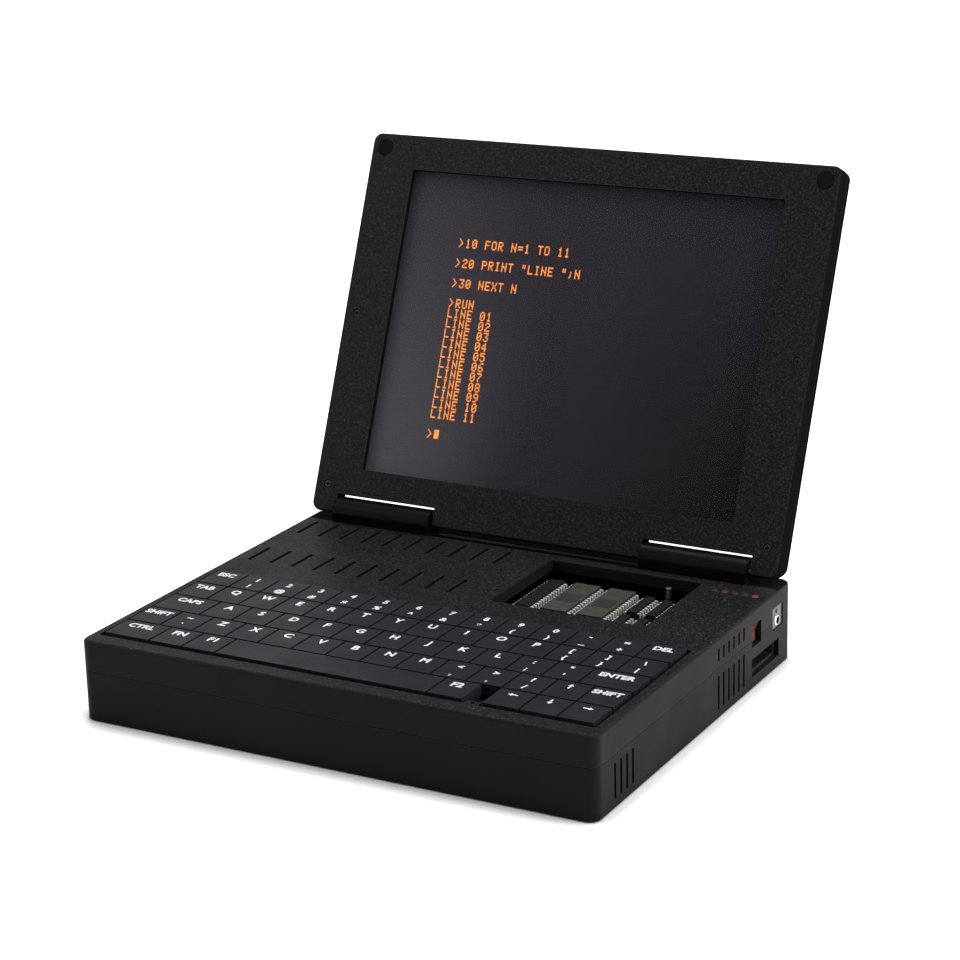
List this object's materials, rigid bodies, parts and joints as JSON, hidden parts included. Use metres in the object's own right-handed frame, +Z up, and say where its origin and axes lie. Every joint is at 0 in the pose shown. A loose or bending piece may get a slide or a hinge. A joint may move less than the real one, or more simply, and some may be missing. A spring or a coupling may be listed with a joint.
{
  "type": "laptop computer",
  "caption": "Thick compact laptop with a tilting lid around a flat display, a full keyboard, a power rocker and an open window in the deck over socketed chips.",
  "frame": {"origin": "on the surface that the laptop stands on, under the middle of the case", "axes": "+X to the user's right along the hinge, +Y away from the user, +Z up"},
  "size_m": [0.25, 0.2713, 0.2151],
  "materials": {
    "case_plastic": "fine moulded grain, charcoal black",
    "lid_plastic": "coarse moulded grain, charcoal black",
    "key_plastic": "satin slate violet, pale lettering",
    "frame_plastic": "plain moulded black",
    "soft_rubber": "matte black",
    "board_laminate": "dark green solder mask",
    "chip_resin": "dull grey-olive moulding resin",
    "lead_metal": "tinned",
    "socket_plastic": "black",
    "screw_steel": "dark zinc",
    "pin_steel": "ground",
    "panel_metal": "satin",
    "contact_film": "translucent film",
    "switch_red": "glossy red",
    "lamp_red": "diffusing red",
    "battery_wrap": "shrink sleeve",
    "display_glass": "matt anti-glare",
    "display_grey": "grey-violet display"
  },
  "bodies": {
    "base": {"bottom_shell": "case_plastic", "top_case": "case_plastic", "rubber_feet": "soft_rubber", "case_screws": "screw_steel", "main_board": "board_laminate", "processor_chips": "chip_resin", "upper_board": "board_laminate", "board_standoffs": "screw_steel", "chip_sockets": "socket_plastic", "chip_pins": "lead_metal", "memory_chip_left": "chip_resin", "memory_chip_middle": "chip_resin", "memory_chip_right": "chip_resin", "logic_chips": "chip_resin", "crystal_can": "lead_metal", "battery_pack": "battery_wrap", "speaker": "socket_plastic", "key_frame": "frame_plastic", "key_membrane": "contact_film", "key_backplate": "pin_steel", "indicator_lamps": "lamp_red", "switch_frame": "socket_plastic", "expansion_socket": "socket_plastic", "jack_panel": "panel_metal", "panel_screw": "panel_metal", "audio_jack": "socket_plastic"},
    "lid": {"lid_bezel": "lid_plastic", "lid_cover": "lid_plastic", "lid_screws": "screw_steel", "lid_bumpers": "soft_rubber", "screen_glass": "display_glass", "display_panel": "display_grey", "display_board": "board_laminate", "hinge_pin_left": "pin_steel", "hinge_pin_right": "pin_steel"},
    "power_rocker": {"switch_rocker": "switch_red"},
    "key_escape": {"key_escape": "key_plastic"},
    "key_delete": {"key_delete": "key_plastic"},
    "key_tab": {"key_tab": "key_plastic"},
    "key_caps": {"key_caps": "key_plastic"},
    "key_enter": {"key_enter": "key_plastic"},
    "key_shift_left": {"key_shift_left": "key_plastic"},
    "key_up": {"key_up": "key_plastic"},
    "key_shift_right": {"key_shift_right": "key_plastic"},
    "key_control": {"key_control": "key_plastic"},
    "key_function": {"key_function": "key_plastic"},
    "key_f1": {"key_f1": "key_plastic"},
    "key_space": {"key_space": "key_plastic"},
    "key_plain": {"key_plain": "key_plastic"},
    "key_left": {"key_left": "key_plastic"},
    "key_down": {"key_down": "key_plastic"},
    "key_right": {"key_right": "key_plastic"},
    "number_keys": {"number_keys": "key_plastic"},
    "upper_letter_keys": {"upper_letter_keys": "key_plastic"},
    "home_letter_keys": {"home_letter_keys": "key_plastic"},
    "lower_letter_keys": {"lower_letter_keys": "key_plastic"}
  },
  "joints": [
    {"name": "lid_hinge", "type": "hinge", "parent": "base", "child": "lid", "pos_m": [0, 0.0897, 0.0418], "axis": [-1, 0, 0], "range_deg": [-113, 20]},
    {"name": "power_switch_tilt", "type": "hinge", "parent": "base", "child": "power_rocker", "pos_m": [0.1189, 0.0599, 0.0248], "axis": [0, -1, 0], "range_deg": [0, 18]},
    {"name": "key_escape_press", "type": "slide", "parent": "base", "child": "key_escape", "axis": [0, 0, -1], "range_m": [0, 0.002], "stiffness_N_per_m": 300, "springref_m": -0.001},
    {"name": "key_delete_press", "type": "slide", "parent": "base", "child": "key_delete", "axis": [0, 0, -1], "range_m": [0, 0.002], "stiffness_N_per_m": 300, "springref_m": -0.001},
    {"name": "key_tab_press", "type": "slide", "parent": "base", "child": "key_tab", "axis": [0, 0, -1], "range_m": [0, 0.002], "stiffness_N_per_m": 300, "springref_m": -0.001},
    {"name": "key_caps_press", "type": "slide", "parent": "base", "child": "key_caps", "axis": [0, 0, -1], "range_m": [0, 0.002], "stiffness_N_per_m": 300, "springref_m": -0.001},
    {"name": "key_enter_press", "type": "slide", "parent": "base", "child": "key_enter", "axis": [0, 0, -1], "range_m": [0, 0.002], "stiffness_N_per_m": 300, "springref_m": -0.001},
    {"name": "key_shift_left_press", "type": "slide", "parent": "base", "child": "key_shift_left", "axis": [0, 0, -1], "range_m": [0, 0.002], "stiffness_N_per_m": 300, "springref_m": -0.001},
    {"name": "key_up_press", "type": "slide", "parent": "base", "child": "key_up", "axis": [0, 0, -1], "range_m": [0, 0.002], "stiffness_N_per_m": 300, "springref_m": -0.001},
    {"name": "key_shift_right_press", "type": "slide", "parent": "base", "child": "key_shift_right", "axis": [0, 0, -1], "range_m": [0, 0.002], "stiffness_N_per_m": 300, "springref_m": -0.001},
    {"name": "key_control_press", "type": "slide", "parent": "base", "child": "key_control", "axis": [0, 0, -1], "range_m": [0, 0.002], "stiffness_N_per_m": 300, "springref_m": -0.001},
    {"name": "key_function_press", "type": "slide", "parent": "base", "child": "key_function", "axis": [0, 0, -1], "range_m": [0, 0.002], "stiffness_N_per_m": 300, "springref_m": -0.001},
    {"name": "key_f1_press", "type": "slide", "parent": "base", "child": "key_f1", "axis": [0, 0, -1], "range_m": [0, 0.002], "stiffness_N_per_m": 300, "springref_m": -0.001},
    {"name": "key_space_press", "type": "slide", "parent": "base", "child": "key_space", "axis": [0, 0, -1], "range_m": [0, 0.002], "stiffness_N_per_m": 500, "springref_m": -0.001},
    {"name": "key_plain_press", "type": "slide", "parent": "base", "child": "key_plain", "axis": [0, 0, -1], "range_m": [0, 0.002], "stiffness_N_per_m": 300, "springref_m": -0.001},
    {"name": "key_left_press", "type": "slide", "parent": "base", "child": "key_left", "axis": [0, 0, -1], "range_m": [0, 0.002], "stiffness_N_per_m": 300, "springref_m": -0.001},
    {"name": "key_down_press", "type": "slide", "parent": "base", "child": "key_down", "axis": [0, 0, -1], "range_m": [0, 0.002], "stiffness_N_per_m": 300, "springref_m": -0.001},
    {"name": "key_right_press", "type": "slide", "parent": "base", "child": "key_right", "axis": [0, 0, -1], "range_m": [0, 0.002], "stiffness_N_per_m": 300, "springref_m": -0.001},
    {"name": "number_keys_press", "type": "slide", "parent": "base", "child": "number_keys", "axis": [0, 0, -1], "range_m": [0, 0.002], "stiffness_N_per_m": 3600, "springref_m": -0.001},
    {"name": "upper_letter_keys_press", "type": "slide", "parent": "base", "child": "upper_letter_keys", "axis": [0, 0, -1], "range_m": [0, 0.002], "stiffness_N_per_m": 3900, "springref_m": -0.001},
    {"name": "home_letter_keys_press", "type": "slide", "parent": "base", "child": "home_letter_keys", "axis": [0, 0, -1], "range_m": [0, 0.002], "stiffness_N_per_m": 3300, "springref_m": -0.001},
    {"name": "lower_letter_keys_press", "type": "slide", "parent": "base", "child": "lower_letter_keys", "axis": [0, 0, -1], "range_m": [0, 0.002], "stiffness_N_per_m": 3300, "springref_m": -0.001}
  ]
}
